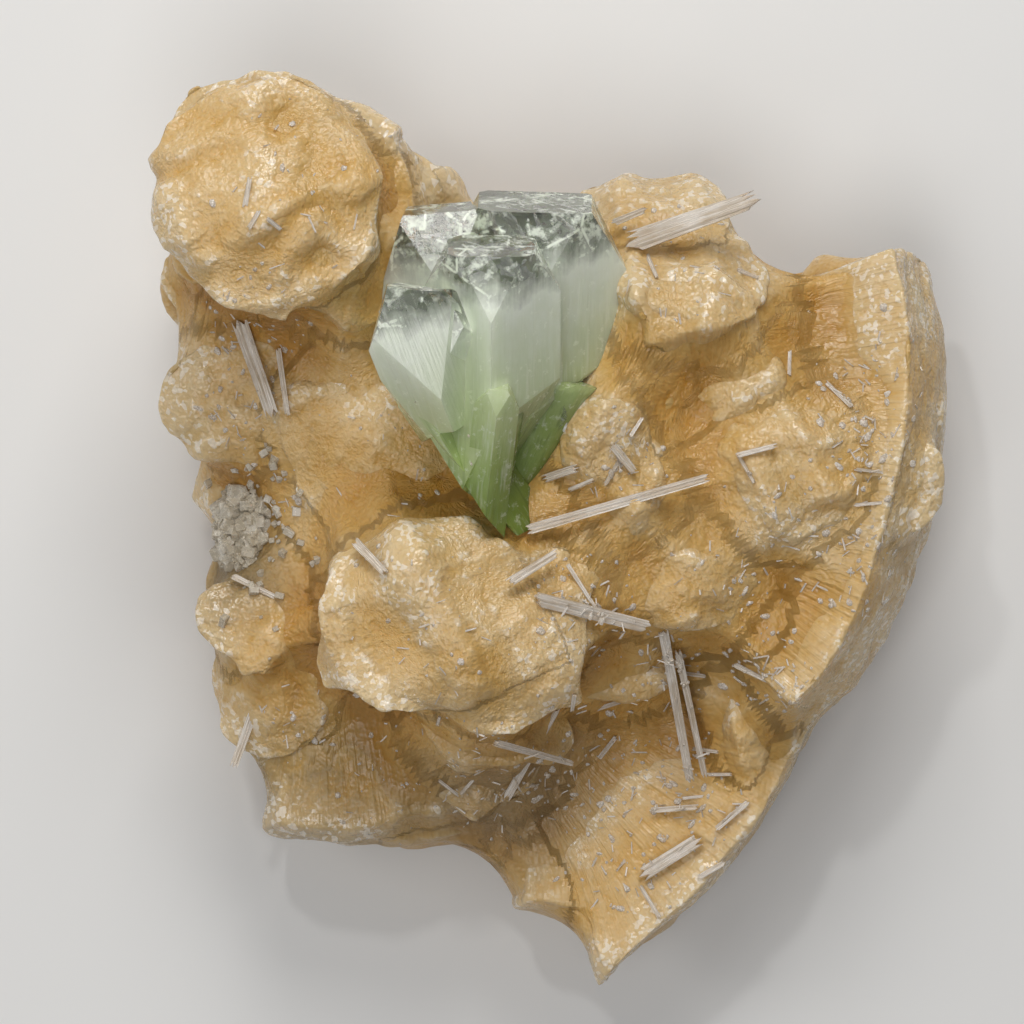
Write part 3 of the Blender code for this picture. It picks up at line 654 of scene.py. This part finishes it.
def faces_by_crystal(mesh):
    """Stores on each face corner how far it is across, along and out of its own crystal, in millimetres.

    A face belongs to the crystal whose angles fit it best and from whose axis it is about half a width away.
    TILT_COUNTS and DISTANCE_COUNTS are how much each of the two counts.
    """
    facet = np.zeros((len(mesh.loops), 3), np.float32)
    below = np.zeros(len(mesh.loops), np.float32)
    places = points_of(mesh) / MM
    for polygon in mesh.polygons:
        normal, centre = np.array(polygon.normal), np.array(polygon.center) / MM
        best = None
        for top, long_axis, half, clear in CRYSTALS:
            axis = unit(long_axis)
            lean = abs(normal @ axis)
            off = TILT_COUNTS * min(lean, abs(lean - math.cos(PYRAMID_ANGLE)), 1 - lean)
            gap = centre - np.array(top)
            off += DISTANCE_COUNTS * abs(np.linalg.norm(gap - axis * (gap @ axis)) - 0.9 * half)
            if best is None or off < best[0]:
                best = (off, np.array(top), axis, np.cross(axis, normal), clear)
        _, top, axis, across, clear = best
        for corner in polygon.loop_indices:
            gap = places[mesh.loops[corner].vertex_index] - top
            facet[corner] = (gap @ across, gap @ axis, gap @ normal)
            below[corner] = -(gap @ axis) - clear
    mesh.attributes.new("facet", "FLOAT_VECTOR", "CORNER").data.foreach_set("vector", facet.ravel())
    mesh.attributes.new("below", "FLOAT", "CORNER").data.foreach_set("value", below)


def apophyllite_finish():
    """Clear glass at the ends of the crystals, and milky green below, with veils, cracks and fine lines."""
    finish = Finish("green_apophyllite")
    place, facet, below = finish.position(), finish.kept("facet", "Vector"), finish.kept("below")
    lines = finish.noise(facet, 1.0, 3, 0.6, (1.5, 0.12, 0.3))
    cloud, small = finish.noise(place, 240, 4, 0.6), finish.noise(place, 800, 4, 0.7)
    milky = finish.between(below + 6 * (cloud - 0.5) + 2 * (lines - 0.5), -2.6, 1.0, 0, 0.97)
    cells = {"Vector": place, "Scale": 210.0}
    torn = finish.node("ShaderNodeTexVoronoi", {"feature": "DISTANCE_TO_EDGE"}, cells)
    crack = finish.between(torn, 0.05, 0.02, 0, 0.95) * finish.between(small + cloud, 0.94, 1.06)
    shining = finish.between(small + 0.5 * cloud, 0.76, 0.9, 0.16, 0.8)
    veil = shining * finish.between(cloud, 0.4, 0.56, 0.25, 1)
    milky = finish.maths("MAXIMUM", milky, finish.maths("MAXIMUM", veil, crack))
    depth = finish.between(below, 0, 27) + 0.3 * (cloud - 0.5) + 0.2 * (lines - 0.5)
    colour = finish.ramp(
        depth, (0.0, (0.74, 0.79, 0.69)), (0.3, (0.54, 0.61, 0.42)), (0.6, (0.42, 0.50, 0.25)),
        (0.8, (0.25, 0.34, 0.10)), (1.0, (0.15, 0.23, 0.04)))
    streaks = finish.between(lines + 0.5 * (cloud - 0.5), 0.55, 0.8, 0, 0.4)
    colour = finish.blend(streaks, colour, (0.88, 0.90, 0.84))
    grains = finish.between(small, 0.56, 0.72, 0, 0.35) * finish.between(depth, 0.1, 0.6)
    colour = finish.blend(grains, colour, (0.90, 0.92, 0.86))
    dark_lines = finish.between(lines, 0.45, 0.3, 0, 0.7) * finish.between(depth, 0.35, 0.8)
    colour = finish.blend(dark_lines, colour, (0.10, 0.16, 0.03))
    frosted = finish.shader(
        Base_Color=colour, Roughness=finish.between(small, 0.3, 0.75, 0.1, 0.34), IOR=1.535,
        Normal=finish.bump(lines + 0.4 * small, 0.0002, 0.6), Subsurface_Weight=0.7,
        Subsurface_Radius=(0.85, 1.0, 0.7), Subsurface_Scale=0.003)
    clear = finish.shader(
        Base_Color=(0.98, 0.99, 0.98, 1), Roughness=finish.between(small, 0.3, 0.8, 0.0, 0.05), IOR=1.535,
        Normal=finish.bump(lines + 0.3 * small, 0.00009, 0.3), Transmission_Weight=1.0)
    mixed = finish.node("ShaderNodeMixShader", {}, {0: milky, 1: clear, 2: frosted})
    tint = finish.node("ShaderNodeVolumeAbsorption", {}, {"Color": (0.86, 0.95, 0.82, 1), "Density": 6.0})
    return finish.ends_in(mixed, tint)


cluster = copied("apophyllite_cluster", "apophyllite_group")
bpy.ops.object.mode_set(mode="EDIT")
bpy.ops.mesh.select_all(action="SELECT")
bpy.ops.mesh.bevel(offset=0.09 * MM, segments=1, affect="EDGES", clamp_overlap=True)
bpy.ops.object.mode_set(mode="OBJECT")
faces_by_crystal(cluster.data)
green = apophyllite_finish()
dressed(cluster, green, "green_apophyllite", "apophyllite_cluster")


# The stem, where all the crystals began: columns grown together, deep green and full of fine lines.
# It stands fast in the hollow of the stilbite, and its depth below the clear ends grows towards its root.

STEM = (
    Sheaf("stem", (-5.0, 0.5, 27.5), (0.2, 16.5, 30.5), (0.95, -0.27, 0.15), 15, 11, (1.2, 1.5), 9, 4,
          flat_end=0.4, worn=1),
    Sheaf("stem_front", (-5.6, 1.2, 29.5), (-6.8, 12.8, 38), (0.95, 0.1, 0.2), 13, 10, (1.2, 1), 7, 3,
          ragged=0.06, flat_end=0.4),
)
BELOW_AT_END, STEM_LENGTH = 19, 9
block = add_block(14)
net = points_of(block.data)
columns = [sheaf.shaped(net) for sheaf in STEM]
stem = gathered("apophyllite_stem", block, [MM * column for column in columns])
local = np.concatenate([sheaf.coordinates(column) for sheaf, column in zip(STEM, columns)])
keep(stem.data, "facet", local * (5, 4, 14) + 3.7)
keep(stem.data, "below", BELOW_AT_END + STEM_LENGTH * (1 - local[:, 2]))
dressed(stem, green, "green_apophyllite")


# Inside the clear ends: healed cracks, which shine as thin white veils, and a few dark grains.
# Both were closed in as the crystals grew, and touch nothing but the glass round them.

chance = random.Random("veils")
bpy.ops.mesh.primitive_ico_sphere_add(subdivisions=3, radius=1.0)
flake = bpy.context.active_object
ball = points_of(flake.data)
VEILS = (
    (-4, 31.5, 33), (-1, 31, 32), (1.6, 31.5, 30), (3.2, 29, 29), (-6.5, 27.5, 40), (-4.2, 26.5, 39),
    (-7.5, 25, 39), (-12.5, 30, 32), (-14.5, 28.5, 31), (-11, 28, 32), (-16.5, 22.5, 42), (-14, 20.5, 42),
    (-15.5, 18.5, 40),
    (-12, 19, 41), (-10.5, 17, 39), (-17, 19.5, 40), (-5, 22.5, 38), (1.8, 11.2, 32),
)


def random_turn(chance):
    """A matrix that turns the points in an array's rows any way at all."""
    return np.array(Quaternion([chance.gauss(0, 1) for _ in range(4)]).normalized().to_matrix()).T


veils = []
for centre in VEILS:
    turned = random_turn(chance)
    size = np.array([chance.uniform(0.9, 2.2), chance.uniform(0.4, 1.2), 0.035])
    torn = ball * (1 + 0.75 * waves(ball * 1.6 + len(veils) * 7.7, 31)[:, :1])
    bent = torn * size + np.array([0, 0, 1]) * 0.35 * waves(torn * 1.2 + len(veils) * 3.1, 32)[:, 2:]
    veils.append(MM * (bent @ turned + np.array(centre)))
veils = gathered("veils_in_apophyllite", flake, veils)
veil_look = Finish("white_veil")
veils.data.materials.append(veil_look.ends_in(veil_look.shader(
    Base_Color=(0.95, 0.96, 0.95, 1), IOR=1.33, Transmission_Weight=0.55,
    Roughness=veil_look.between(veil_look.noise(veil_look.position(), 1500), 0.3, 0.7, 0.05, 0.3))))
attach(veils, "root")

bpy.ops.mesh.primitive_ico_sphere_add(subdivisions=2, radius=1.0)
speck = bpy.context.active_object
ball = points_of(speck.data)
DARK_GRAINS = (
    (-1.9, 26.4, 38), (-2.2, 24, 37), (-13.6, 17.9, 41.5), (-8.3, 16.3, 40.5), (-14, 29, 33),
    (-13.2, 18.8, 41.3), (-0.5, 31.2, 31), (1.2, 30.4, 30.6), (-2.6, 30.2, 31.8), (-12.6, 17.2, 41),
    (-5.5, 25.6, 39.5),
)
specks = []
for centre in DARK_GRAINS:
    size = 0.16 + 0.24 * chance.random()
    rough = ball * (1 + 0.5 * waves(ball * 1.5 + len(specks) * 5.3, 33)[:, :1])
    specks.append(MM * (rough * size + np.array(centre)))
specks = gathered("dark_grains_in_apophyllite", speck, specks)
speck_look = Finish("dark_grain")
spots = speck_look.noise(speck_look.position(), 2000)
specks.data.materials.append(speck_look.ends_in(speck_look.shader(
    Base_Color=speck_look.blend(spots, (0.02, 0.02, 0.015), (0.16, 0.11, 0.07)), Roughness=0.5)))
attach(specks, "root")


# Scolecite needles: white, glassy laths, grooved along their length and broken across at their ends.
# The larger ones are set in the stilbite or lie on it, and many splinters and grains lie loose in the hollows.
# A needle is given as both ends, width and thickness, and one that lies loose as x, y, turn, length and width.

CAMERA = Vector((0, 0, 620))
NEEDLES = {
    "needle_bundle_top": ((9.3, 30.2, 28.6), (22, 34.5, 32), 2.4, 1.6),
    "needle_beside_bundle": ((7.2, 32.3, 27.5), (10.5, 33.6, 28.8), 0.8, 0.5),
    "needle_lath_left": ((-33.5, 21.5, 27.6), (-30, 11.5, 27.2), 1.7, 0.8),
    "needle_thin_left": ((-29.3, 18.5, 27.4), (-28.3, 11.5, 27.6), 0.6, 0.5),
    "needle_in_notch": ((22.2, 20.3, 25.3), (28.5, 22.4, 24.8), 1.0, 0.7),
    "needle_long": ((-2, -1, 33.2), (17, 4.5, 32.8), 1.1, 0.8),
    "needle_wedge": ((-1, -8.5, 36.4), (10.5, -11.5, 30.4), 1.5, 0.8),
    "needle_on_knob": ((-4, -6.6, 37.6), (0.8, -3.6, 34.9), 1.0, 0.6),
    "needle_short": ((2.2, -3, 31), (5.5, -6, 31), 0.7, 0.5),
    "needle_lower_long": ((12.5, -12, 27.3), (15.6, -28.6, 20.2), 1.1, 0.8),
    "needle_lower_side": ((14.2, -14.5, 25.1), (17.2, -28, 19.6), 0.8, 0.6),
    "needle_across": ((-5.5, -24, 33.2), (2.5, -26.5, 25), 0.8, 0.6),
    "needle_crossed": ((-4.5, -30.5, 20.2), (1, -20.5, 25), 0.9, 0.6),
    "needle_hollow": ((4.4, -16.6, 24.8), (7.6, -20, 19.5), 0.7, 0.5),
    "needle_hollow_low": ((3, -22, 16.8), (6.5, -23, 16.9), 0.6, 0.5),
    "needle_rim": ((18.5, -34, 19.6), (22, -31, 20), 0.6, 0.5),
    "needle_plate": ((11.6, -32, 18.2), (16.4, -31.6, 19.2), 0.6, 0.5),
    "needle_slab": ((10.5, -39, 18.9), (16.5, -35.2, 19.4), 1.5, 0.7),
    "needle_edge_low": ((-12, -34.3, 13.6), (-8, -33.8, 14.6), 0.8, 0.6),
    "needle_flank": ((-20.5, -2.5, 35.4), (-17.5, -5.5, 38.6), 1.0, 0.6),
    "needle_root": ((-0.3, 4.5, 30.6), (3.1, 5.6, 32.4), 0.9, 0.6),
    "needle_blade": ((7, 8, 33.3), (9.2, 5.3, 32.7), 0.9, 0.6),
    "needle_left_edge": ((-32.6, -21.5, 18.6), (-34.6, -27, 18), 1.0, 0.7),
    "needle_mass": ((20.5, 7, 31.6), (24.5, 8, 31.7), 0.6, 0.5),
    "needle_valley": ((30.5, 15.5, 24.2), (33, 12, 26), 0.7, 0.5),
    "needle_crescent": ((33.5, 10, 26.3), (36.3, 6, 28.6), 0.7, 0.5),
}


def lath(block, start, end, width, thickness, chance):
    """The points of a grooved needle from the points of a cube of side 2, then where each is in the needle."""
    start, end = Vector(start), Vector(end)
    turn = np.array((end - start).to_track_quat("Z", "Y").to_matrix())
    length = (end - start).length
    x, y, z = block.T
    grooves = np.array([chance.uniform(0.7, 1.0) for _ in range(9)])
    thick = np.interp(x, np.linspace(-1, 1, 9), grooves)
    ends = np.array([chance.uniform(-0.4, 0.4) for _ in range(9)]) * width
    broken = np.interp(x, np.linspace(-1, 1, 9), ends)
    taper = 1 - chance.uniform(0, 0.25) * (z + 1) / 2
    along = z * length / 2 + broken * np.sign(z) * (abs(z) > 0.99)
    local = np.stack([x * width / 2 * taper, y * thickness / 2 * thick * taper, along], axis=1)
    return np.hstack([local @ turn.T + np.array((start + end) / 2), local + 10 * chance.random()])


def landing(x, y, lift=0.0):
    """Where the line of sight through a place 20 above the table meets the stilbite, and the way up there."""
    way = (Vector((x, y, 20)) - CAMERA).normalized()
    graph = bpy.context.evaluated_depsgraph_get()
    hit, place, normal, *_ = bpy.context.scene.ray_cast(graph, CAMERA * MM, way)
    if not hit or place.z < 1 * MM:
        return None, None
    return place / MM + normal * lift, normal


def lying(block, x, y, turn, length, width, chance, tilt=0.15):
    """A needle that lies where it fell, along turn in degrees, with a little tilt."""
    place, normal = landing(x, y, 0.3 * width)
    if place is None:
        return None
    way = Vector((math.cos(math.radians(turn)), math.sin(math.radians(turn)), 0))
    way = (way - normal * way.dot(normal)).normalized() + normal * chance.uniform(-tilt, tilt)
    half = way.normalized() * length / 2
    return lath(block, place - half, place + half, width, width * 0.7, chance)


def scolecite_finish():
    """White and silky, clearer where a needle is thin, with fine grooves."""
    finish = Finish("white_scolecite")
    cloud = finish.noise(finish.position(), 350, 2, 0.6)
    fine = finish.noise(finish.kept("grain", "Vector"), 1.0, 3, 0.6, (4.5, 4.5, 0.22))
    share = finish.between(0.6 * fine + 0.4 * cloud, 0.38, 0.6)
    colour = finish.blend(share, (0.58, 0.48, 0.36), (0.84, 0.79, 0.72))
    return finish.ends_in(finish.shader(
        Base_Color=colour, Roughness=finish.between(fine, 0.3, 0.8, 0.16, 0.4), IOR=1.51,
        Normal=finish.bump(fine, 0.00006, 0.5), Transmission_Weight=0.3, Subsurface_Weight=0.3,
        Subsurface_Radius=(1, 0.9, 0.8), Subsurface_Scale=0.001))


scolecite = scolecite_finish()
# The solids of the needles and the druse are hidden, so that a line of sight goes down to the stilbite.
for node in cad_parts:
    if node.startswith("needle_") or node == "white_druse":
        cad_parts[node].hide_viewport = True
chance = random.Random("needles")
block = add_block(7)
net = points_of(block.data)
laths = [lath(net, *shape, chance) for shape in NEEDLES.values()]
LOOSE = (
    (6.5, -20.3, 58, 3.4, 0.5), (2.7, -20, -75, 2.8, 0.5), (6.5, -25, 58, 3.2, 0.5),
    (17.3, -25.3, -3, 3.4, 0.45), (18.6, -28, -3, 3.9, 0.4), (15.6, -16.9, -8, 3.3, 0.45),
    (22.4, -16.7, -3, 3.9, 0.6), (3.7, 3.9, 25, 2.8, 0.5), (7.2, 5.5, 60, 3.6, 0.45),
    (9.6, 10.2, 37, 2.5, 0.4), (-10.8, -29.5, -45, 3.0, 0.4), (-8.9, -29.3, 52, 2.3, 0.4),
    (-32, -7.5, -27, 6.0, 0.7), (3.8, -7.6, -53, 6.3, 0.45), (11.2, -42, -60, 4.0, 0.45),
    (21.8, 5.7, -55, 3.6, 0.4), (35.4, 1.8, 5, 3.4, 0.4), (35.4, 5.4, -7, 3.0, 0.35),
    (32, 13.7, -52, 4.2, 0.45), (26.5, 17.2, 79, 2.8, 0.4), (11.4, 27.8, -86, 3.8, 0.5),
    (21.9, 27, -18, 2.2, 0.45), (-33, 36, 80, 3.0, 0.6), (-32.3, 33, 62, 2.2, 0.5),
    (-30.2, 32.6, -40, 2.0, 0.5), (-12, -22, 70, 2.2, 0.35), (16, -30.5, 5, 2.4, 0.35),
    (18, -38.5, 30, 3.2, 0.6),
)
for x, y, turn, length, width in LOOSE:
    shape = lying(net, x, y, turn, length, width, chance)
    if shape is not None:
        laths.append(shape)
needles = gathered("scolecite_needles", block, [MM * shape[:, :3] for shape in laths])
keep(needles.data, "grain", np.concatenate(laths)[:, 3:])
dressed(needles, scolecite, "white_scolecite", *NEEDLES)


# Sprays of splinters and loose grains, thickest in the hollows and on the fans of the right side.
# They broke off the needles, and each lies on the stilbite where a line of sight meets it.
# A patch is given as x, y, how wide it is, and how many grains lie there. A random turn in it is in radians.

PATCHES = (
    (4, -10, 5, 60), (13, -15.5, 3, 36), (24, -16.5, 4, 46), (34, -6, 5, 34), (35.5, 8, 5, 40),
    (33, 13.5, 4, 16), (1.5, -29.5, 4, 20), (8, -26, 9, 60), (15, -31, 7, 46), (8, -38, 6, 36),
    (-6, -29, 6, 46), (-16, -29, 7, 24),
    (28, -2, 8, 40), (20, -8, 6, 26), (-32, 22, 5, 34), (-34, 12, 4, 26), (-26, 36, 9, 22), (-28, -22, 4, 18),
    (-14, -12, 8, 26), (14, 27, 6, 18), (8, 6, 5, 22), (36, 16, 6, 22), (-18, 8, 8, 16), (-31, 2, 4, 22),
)
splinter = add_block(0)
small_net = points_of(splinter.data)
splinters = []
for x, y, wide, count in PATCHES:
    for _ in range(count // 2):
        away, turn = wide * chance.random() ** 0.6, chance.uniform(0, 360)
        spot = (x + away * math.cos(turn), y + away * math.sin(turn))
        shape = lying(small_net, *spot, chance.uniform(0, 180), chance.uniform(0.4, 1.9),
                      chance.uniform(0.1, 0.22), chance, 0.6)
        if shape is not None:
            splinters.append(shape)
sprays = gathered("scolecite_splinters", splinter, [MM * shape[:, :3] for shape in splinters])
keep(sprays.data, "grain", np.concatenate(splinters)[:, 3:])
dressed(sprays, scolecite, "white_scolecite")

bpy.ops.mesh.primitive_ico_sphere_add(subdivisions=2, radius=1.0)
grain = bpy.context.active_object
ball = points_of(grain.data)
grains = []
for x, y, wide, count in PATCHES:
    for _ in range(count):
        away, turn = 1.3 * wide * chance.random() ** 0.7, chance.uniform(0, 360)
        place, normal = landing(x + away * math.cos(turn), y + away * math.sin(turn))
        if place is None:
            continue
        size = np.array([chance.uniform(0.6, 1.5), chance.uniform(0.5, 1), 0.5])
        size *= 0.12 + 0.36 * chance.random() ** 3
        turned = np.array((normal.to_track_quat("Z", "Y") @ Quaternion((0, 0, 1), turn)).to_matrix())
        bumpy = ball * (1 + 0.45 * waves(ball * 1.3 + 9.7 * len(grains), 12)[:, :1])
        grains.append(MM * ((bumpy * size) @ turned.T + np.array(place)))
grains = gathered("white_grains", grain, grains)
keep(grains.data, "grain", points_of(grains.data) / MM)
dressed(grains, scolecite, "white_scolecite")


# The grey-white druse on the left edge: a crust of small blocky crystals grown through each other.
# It has grown fast on the stilbite, and a few of its crystals sit loose on the rock round it.

DRUSE_PLACE = np.array((-32.5, -1, 16))
DRUSE_CRUST, DRUSE_GROUND = np.array((4.1, 5.9, 4.9)), np.array((3.9, 5.6, 4.7))
bpy.ops.mesh.primitive_ico_sphere_add(subdivisions=5, radius=1.0)
druse = bpy.context.active_object
druse.name = druse.data.name = "druse_crust"
ball = points_of(druse.data)
height, middle = plates(ball * 3.2, 21)
crust = DRUSE_PLACE + ball * DRUSE_CRUST * (0.93 + 0.09 * height - 0.05 * middle)[:, None]
set_points(druse.data, crust * MM)
bpy.ops.mesh.primitive_cube_add(size=1.0)
cube = bpy.context.active_object
bpy.ops.object.mode_set(mode="EDIT")
bpy.ops.mesh.bevel(offset=0.07, segments=1, affect="EDGES")
bpy.ops.object.mode_set(mode="OBJECT")
corners = points_of(cube.data)
cube.hide_viewport = True
GROWN_CUBES, LOOSE_CUBES = 330, 70
cubes = []
while len(cubes) < GROWN_CUBES:
    way = Vector([chance.gauss(0, 1) for _ in range(3)]).normalized()
    if way.z < -0.3 or way.x > 0.75:
        continue
    size = chance.uniform(0.5, 1.6) * np.array([1, chance.uniform(0.4, 1), chance.uniform(0.8, 1.9)])
    cubes.append(MM * ((corners * size) @ random_turn(chance) + DRUSE_PLACE + np.array(way) * DRUSE_GROUND))
for _ in range(LOOSE_CUBES):
    place, normal = landing(chance.gauss(-31.5, 2.4), chance.gauss(-0.5, 4.2))
    if place is not None:
        size = chance.uniform(0.3, 1.1) * np.array([1, chance.uniform(0.6, 1), chance.uniform(0.8, 1.5)])
        cubes.append(MM * ((corners * size) @ random_turn(chance) + np.array(place)))
cubes = gathered("druse_crystals", cube, cubes)
druse_look = Finish("grey_druse")
place = druse_look.position()
cloud, fine = druse_look.noise(place, 260, 5, 0.6), druse_look.noise(place, 1400, 4, 0.65)
druse_colour = druse_look.ramp(
    0.7 * cloud + 0.3 * fine,
    (0.25, (0.40, 0.33, 0.22)), (0.5, (0.60, 0.54, 0.43)), (0.75, (0.84, 0.82, 0.76)))
druse_grey = druse_look.ends_in(druse_look.shader(
    Base_Color=druse_colour, Roughness=druse_look.between(fine, 0.3, 0.8, 0.12, 0.45), IOR=1.5,
    Normal=druse_look.bump(fine, 0.00015, 0.5), Transmission_Weight=0.3, Subsurface_Weight=0.2,
    Subsurface_Radius=(1, 0.9, 0.8), Subsurface_Scale=0.001))
dressed(druse, druse_grey, "grey_druse", "white_druse")
dressed(cubes, druse_grey, "grey_druse")


# The table that the specimen lies on, soft light mostly from its upper end, and a long lens straight above.
# They are there for the picture, and are no part of the object.

bpy.ops.mesh.primitive_plane_add(size=6, location=(0, 0, -0.00002))
floor = bpy.context.active_object
floor.name = "floor"
floor_finish = Finish("pale_floor")
floor_grey = floor_finish.shader(Base_Color=(0.75, 0.75, 0.74, 1), Roughness=0.7)
floor.data.materials.append(floor_finish.ends_in(floor_grey))

world = bpy.context.scene.world or bpy.data.worlds.new("studio")
bpy.context.scene.world = world
world.use_nodes = True
world.node_tree.nodes["Background"].inputs["Color"].default_value = (0.9, 0.93, 1.0, 1)
world.node_tree.nodes["Background"].inputs["Strength"].default_value = 0.15


def lamp(name, place, size, power, colour):
    bpy.ops.object.light_add(type="AREA", location=place)
    light = bpy.context.active_object
    light.name = name
    light.rotation_euler = (Vector((0, 0, 0.02)) - Vector(place)).to_track_quat("-Z", "Y").to_euler()
    light.data.shape, light.data.size, light.data.energy, light.data.color = "SQUARE", size, power, colour


lamp("key", (0.04, 0.42, 0.36), 0.24, 1.7, (1.0, 0.98, 0.95))
lamp("side", (-0.42, 0.05, 0.28), 0.2, 0.4, (1.0, 0.98, 0.95))
lamp("glint", (-0.12, 0.3, 0.5), 0.035, 0.35, (1.0, 1.0, 1.0))
lamp("front", (-0.08, -0.22, 0.70), 0.36, 1.6, (1.0, 0.98, 0.96))

bpy.ops.object.camera_add(location=CAMERA * MM, rotation=(0, 0, 0))
camera = bpy.context.active_object
camera.data.sensor_width = 36
camera.data.lens = 191.8
camera.data.shift_x, camera.data.shift_y = -0.0352, 0.0078
camera.data.clip_start = 0.01
bpy.context.scene.camera = camera
bpy.context.scene.view_settings.view_transform = "Standard"
